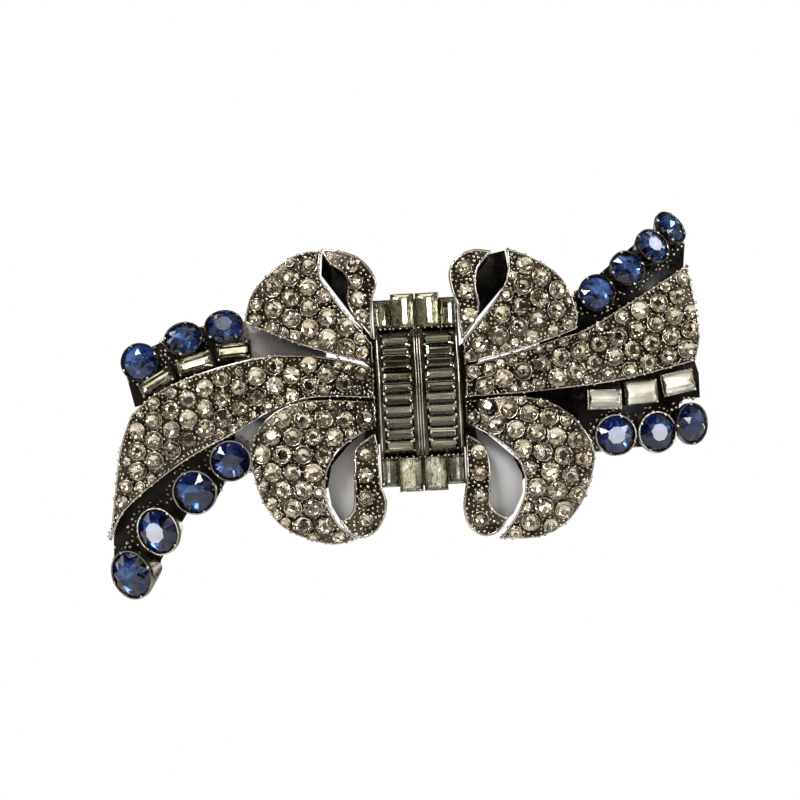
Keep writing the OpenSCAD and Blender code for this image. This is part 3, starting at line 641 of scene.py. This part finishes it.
def rims(patch):
    """Closed paths round a patch, longest first."""
    count = {}
    where = {}
    for face, corners in patch:
        for k in range(len(face)):
            a, b = face[k], face[(k + 1) % len(face)]
            count[frozenset((a, b))] = count.get(frozenset((a, b)), 0) + 1
            where[a], where[b] = corners[k], corners[(k + 1) % len(face)]
    links = {}
    for edge, times in count.items():
        if times == 1 and len(edge) == 2:
            a, b = edge
            links.setdefault(a, []).append(b)
            links.setdefault(b, []).append(a)
    paths = []
    seen = set()
    for start in links:
        if start in seen:
            continue
        path = [start]
        seen.add(start)
        while True:
            following = [v for v in links[path[-1]] if v not in seen]
            if not following:
                break
            path.append(following[0])
            seen.add(following[0])
        paths.append([where[v] for v in path])
    return sorted(paths, key=path_length, reverse=True)


def path_length(path):
    return sum((path[i] - path[i - 1]).length for i in range(len(path)))


def split_at_corners(path):
    """A closed path cut into open ones where it turns sharply."""
    n = len(path)
    cuts = []
    for i in range(n):
        before = path[i] - path[i - 1]
        after = path[(i + 1) % n] - path[i]
        if before.length > 0 and after.length > 0 and before.angle(after) > CORNER:
            cuts.append(i)
    if not cuts:
        return [path + path[:1]]
    pieces = []
    for a, b in zip(cuts, cuts[1:] + [cuts[0] + n]):
        piece = [path[k % n] for k in range(a, b + 1)]
        if path_length(piece[1:]) > SHORTEST_WIRE:
            pieces.append(piece)
    return pieces


def evenly(path, gap):
    """Points a set gap apart along an open path."""
    found = []
    left = gap / 2
    for a, b in zip(path, path[1:]):
        step = (b - a).length
        while left < step:
            found.append(a + (b - a) * (left / step))
            left += gap
        left -= step
    return found


def winding(path):
    """Twice the area that a closed path bounds in the clip's face, positive when it runs anticlockwise."""
    return sum(path[i - 1].x * path[i].z - path[i].x * path[i - 1].z for i in range(len(path)))


def inset(path, depth, away):
    """An open path moved to its left in the clip's face, and forward by `away`."""
    moved = []
    last = len(path) - 1
    for i, p in enumerate(path):
        way = path[min(i + 1, last)] - path[max(i - 1, 0)]
        if way.length < 1e-7:
            continue
        moved.append(p + Vector((-way.z, 0, way.x)).normalized() * depth + FRONT * away)
    return moved


def scatter(surface, seats, radii, spacing, tries, rng):
    """Places for beads on a front surface, clear of the stones and of each other."""
    areas = []
    triangles = []
    for _, c in surface:
        for k in range(1, len(c) - 1):
            triangles.append((c[0], c[k], c[k + 1]))
            areas.append((c[k] - c[0]).cross(c[k + 1] - c[0]).length / 2)
    total = np.cumsum(areas)
    grid = {}
    places = []
    for _ in range(tries):
        a, b, c = triangles[int(np.searchsorted(total, rng.random() * total[-1]))]
        u, v = rng.random(), rng.random()
        if u + v > 1:
            u, v = 1 - u, 1 - v
        p = a + (b - a) * u + (c - a) * v
        radius = rng.uniform(*radii)
        key = (int(p.x // spacing), int(p.z // spacing))
        near = [q for i in (-1, 0, 1) for j in (-1, 0, 1) for q in grid.get((key[0] + i, key[1] + j), [])]
        if any((q - p).length < spacing * 0.94 for q in near):
            continue
        if any((s - p - up * (s - p).dot(up)).length < r + radius * 0.15 for s, up, r in seats
               if (s - p).length < r + 0.002):
            continue
        grid.setdefault(key, []).append(p)
        places.append((p, radius))
    return places


# ---- Pieces ----

def pave_cut(rng):
    """Table width, crown height and pavilion depth of a hand-set stone, as shares of its radius."""
    return rng.uniform(0.46, 0.62), rng.uniform(0.34, 0.42), rng.uniform(0.28, 0.5)


def blue_cut(_):
    """The same shares for the machine-cut blue stones, which are all alike."""
    return 0.46, 0.34, 0.34


def stones_of(name, piece_name, glass, foil_mat, slot, rng, cut, lift=0.0, sway=0.0):
    """Brilliant-cut stones in place of a node's round stones; returns their seats."""
    shape = Shape()
    seats = [(c + up * lift, up, r) for c, up, r in (round_seat(p) for p in islands(name))]
    for centre, up, radius in seats:
        lean = Vector((rng.gauss(0, sway), 0, rng.gauss(0, sway)))
        brilliant(shape, centre, (up + lean).normalized(), radius, rng.random() * math.tau, cut(rng))
    shape.piece(piece_name, [glass, foil_mat], slot, replaces=(name,))
    return seats


def baguettes_of(name, rng, foil_mat, end_cut=0.2, side_cut=0.2):
    """Step-cut stones in place of a node's baguettes; returns their seats."""
    shape = Shape()
    seats = [step_seat(p) for p in islands(name)]
    for base, up, long, size in seats:
        lean = Vector((rng.gauss(0, 0.02), 0, rng.gauss(0, 0.03)))
        step_cut(shape, base, (up + lean).normalized(), long, size, end_cut, side_cut)
    # The cream third material on the ends is a painted highlight where the side foil is darker
    shape.piece(name + "_stones", [OLIVE, foil_mat, CREAM_FOIL], "clear_baguette", replaces=(name,))
    return seats


def dress_ribbon(name, seats, rng, wire=RIM_WIRE, setback=RIM_WIRE, milgrain=True):
    """Polished wire along a ribbon's edge, milgrain inside it, and beads between its stones."""
    surface = front_patches(name)[0]
    wires = Shape()
    grains = Shape()
    rim = rims(surface)[0]
    sign = 1 if winding(rim) > 0 else -1
    for path in split_at_corners(rim):
        path = inset(path, setback * sign, 0.05 * MM)
        tube(wires, path, wire, closed=False)
        for end in (path[0], path[-1]):
            bead(wires, end, wire)
        for p in evenly(inset(path, MILGRAIN_INSET * sign, 0.0), MILGRAIN_GAP) if milgrain else ():
            bead(grains, p, rng.uniform(*MILGRAIN_RADII) * MM)
    wires.piece(name + "_rail", [WIRE], "rhodium_plate", smooth=True)
    for p, r in scatter(surface, seats, *RIBBON_BEADS, rng):
        bead(grains, p, r)
    grains.piece(name + "_beads", [BEAD], "rhodium_plate", smooth=True)


def ring_stones(name, seats, rng):
    """Thin turned-over rims that catch the light round some of a ribbon's stones."""
    rings = Shape()
    for centre, up, radius in seats:
        if rng.random() < RIMMED_SHARE:
            tube(rings, ring(centre, basis(up), radius * 0.97, 0.06 * MM, 24), 0.07 * MM, sides=6, aim=up)
    rings.piece(name + "_rings", [BEAD], "rhodium_plate", smooth=True)


def lay_painted_recess_floor(name, mat):
    """A polished skin over the recess floor of a folded loop, near-black as painted shade or pale grey as a
    painted reflection.
    """
    skin = Shape()
    for patch in front_patches(name)[1:]:
        for _, corners in patch:
            skin.add([c + FRONT * 0.03 * MM for c in corners], [tuple(range(len(corners)))])
    if skin.faces:
        skin.piece(name + "_floor", [mat], "rhodium_plate", smooth=True)


def paint(name, *materials):
    mesh = NODES[name].data
    mesh.materials.clear()
    for mat in materials:
        mesh.materials.append(mat)


def build_ribbons(rng):
    """The tails and loops with their stones, and the folded strips inside the loops."""
    for ribbon in RIBBONS:
        pave = "pave_" + ribbon.replace("loop_", "")
        seats = stones_of(pave, ribbon + "_stones", CLEAR, CLEAR_FOIL, "clear_stone", rng, pave_cut,
                          lift=PAVE_LIFT, sway=PAVE_SWAY)
        dress_ribbon(ribbon, seats, rng)
        ring_stones(ribbon, seats, rng)
        paint(ribbon, CASTING)
        quad = ribbon.replace("loop_", "")
        if quad in QUADS:
            dress_ribbon("fold_" + quad, seats, rng, wire=FOLD_WIRE, setback=0.04 * MM, milgrain=False)
            paint("fold_" + quad, CASTING)
            # Upper folds get the painted dark floor and lower folds the painted pale one, shaded and lit
            # copies of the same metal
            lay_painted_recess_floor("fold_" + quad, DARK_PAINTED_RECESS if quad.startswith("upper") else PAINTED_LIGHT_RECESS)


def build_rows(rng):
    """Blue stones in their cups, with bezels and prongs, and the baguettes beside them."""
    bezels = Shape()
    prongs = Shape()
    blues = []
    for name in sorted(n for n in NODES if n.startswith("blue_")):
        back = BLUE_FOIL if name.startswith("blue_u") else NAVY_FOIL
        (centre, up, radius), = stones_of(name, name + "_stone", BLUE, back, "blue_stone", rng, blue_cut)
        blues.append((name, (centre, up, radius)))
        if name in WINDOW_STONES:
            glance = (up * 2 * up.dot(FRONT) - FRONT).normalized()
            distance, size, power = WINDOW
            add_light("window_" + name, centre + glance * distance, centre, size, power)
        axes = basis(up)
        tube(bezels, ring(centre, axes, radius + BEZEL_WIRE, BEZEL_WIRE, 40), BEZEL_WIRE, aim=up)
        for p in ring(centre, axes, radius + 0.02 * MM, 0.25 * MM, 4, rng.random() * math.tau):
            bead(prongs, p, BLUE_PRONG)
    for quad in QUADS:
        surface = front_patches("gallery_" + quad)[0]
        row = "blue_" + "".join(word[0] for word in quad.split("_"))
        seats = [seat for name, seat in blues if name.startswith(row)]
        for p, r in scatter(surface, seats, *GALLERY_BEADS, rng):
            flat = [math.hypot(p.x - c.x, p.z - c.z) - size for c, _, size in seats]
            if min(flat) < GALLERY_REACH:
                bead(prongs, p, r)
    for name in sorted(n for n in NODES if n.startswith("baguette_")):
        (base, up, long, (length, width, height)), = baguettes_of(
            name, rng, WHITE_FOIL if "_lr_" in name else CREAM_FOIL)
        side = up.cross(long)
        for s in (-1, 1):
            for t in (-1, 1):
                bead(prongs, base + long * s * length * 0.46 + side * t * width * 0.5 + up * height * 0.8,
                     TAIL_PRONG)
    bezels.piece("row_bezels", [WIRE], "rhodium_plate", smooth=True)
    prongs.piece("row_prongs", [BEAD], "rhodium_plate", smooth=True)


def build_knot(rng):
    """The knot's baguettes, their prongs, and the wires between and beside the two columns."""
    beads = Shape()
    rails = Shape()
    columns = []
    for name in ("knot_column_left", "knot_column_right"):
        seats = sorted(baguettes_of(name, rng, ACROSS_STREAK_PAINTED_FOIL, 0.16, 0.12), key=lambda seat: seat[0].z)
        seats = [(base, up, long if long.x > 0 else -long, size) for base, up, long, size in seats]
        columns.append(seats)
        for base, up, long, (length, width, height) in seats:
            side = up.cross(long)
            for s in (-1, 1):
                for t in (-1, 1):
                    corner = long * s * length * 0.47 + side * t * width * 0.5
                    bead(beads, base + corner + up * height * 0.75, COLUMN_PRONG)
    for seats, way in ((columns[0], -1), (columns[1], 1)):
        path = [base + long * way * (size[0] / 2 + 0.55 * MM) + up * size[2] * 0.9
                for base, up, long, size in seats]
        knot_rail(rails, path, KNOT_SIDE_WIRE)
    for shift in (-0.42, 0, 0.42):
        path = [(a[0] + b[0]) / 2 + a[2] * shift * MM + a[1] * a[3][2] * 0.95 for a, b in zip(*columns)]
        knot_rail(rails, path, KNOT_MIDDLE_WIRE)
    for name in ("knot_fan_top", "knot_fan_bottom"):
        for base, up, long, (length, width, height) in baguettes_of(name, rng, UPRIGHT_STREAK_PAINTED_FOIL, 0.09, 0.14):
            inward = -long if (long.z > 0) == (base.z > 0) else long
            end = base + inward * (length / 2 + 0.15 * MM) + up * height * 0.6
            for t in (-0.42, -0.14, 0.14, 0.42):
                bead(beads, end + up.cross(long) * t * width, FAN_PRONG)
    beads.piece("knot_prongs", [BEAD], "rhodium_plate", smooth=True)
    rails.piece("knot_rails", [WIRE], "rhodium_plate", smooth=True)
    paint("knot_frame", CASTING)


def knot_rail(shape, path, radius):
    """A rail over the knot, carried on past the first and last stones."""
    first = path[0] + (path[0] - path[1]) * 0.5
    last = path[-1] + (path[-1] - path[-2]) * 0.5
    tube(shape, [first] + path + [last], radius, closed=False)


def paint_rest():
    for quad in QUADS:
        gallery = "gallery_" + quad
        # Right galleries take the painted dark recess, left ones the painted pale reflection with painted
        # shade beyond it
        paint(gallery, DARK_PAINTED_RECESS if quad.endswith("right") else gallery_painted_reflection(gallery, PAINTED_PALE_FROM))
        paint("setting_" + quad, CUP if quad.startswith("lower") else CASTING)
    paint("back_plate", CASTING)
    for name in ("base_bar", "mounting_rivets", "hinge_pin", "clasp_arm", "tension_spring", "spring_rivet",
                 "catch_wing_upper", "catch_wing_lower", "catch_pins"):
        paint(name, STEEL)


def main():
    rng = random.Random(11)
    bpy.context.scene.view_settings.view_transform = "Standard"
    add_camera()
    add_world()
    add_floor()
    add_light("key", (-0.35, -0.45, 0.5), (0, 0, 0), 0.25, 5)
    add_light("fill", (0.5, -0.35, 0.2), (0, 0, 0), 0.2, 2)
    build_ribbons(rng)
    build_rows(rng)
    build_knot(rng)
    paint_rest()


main()
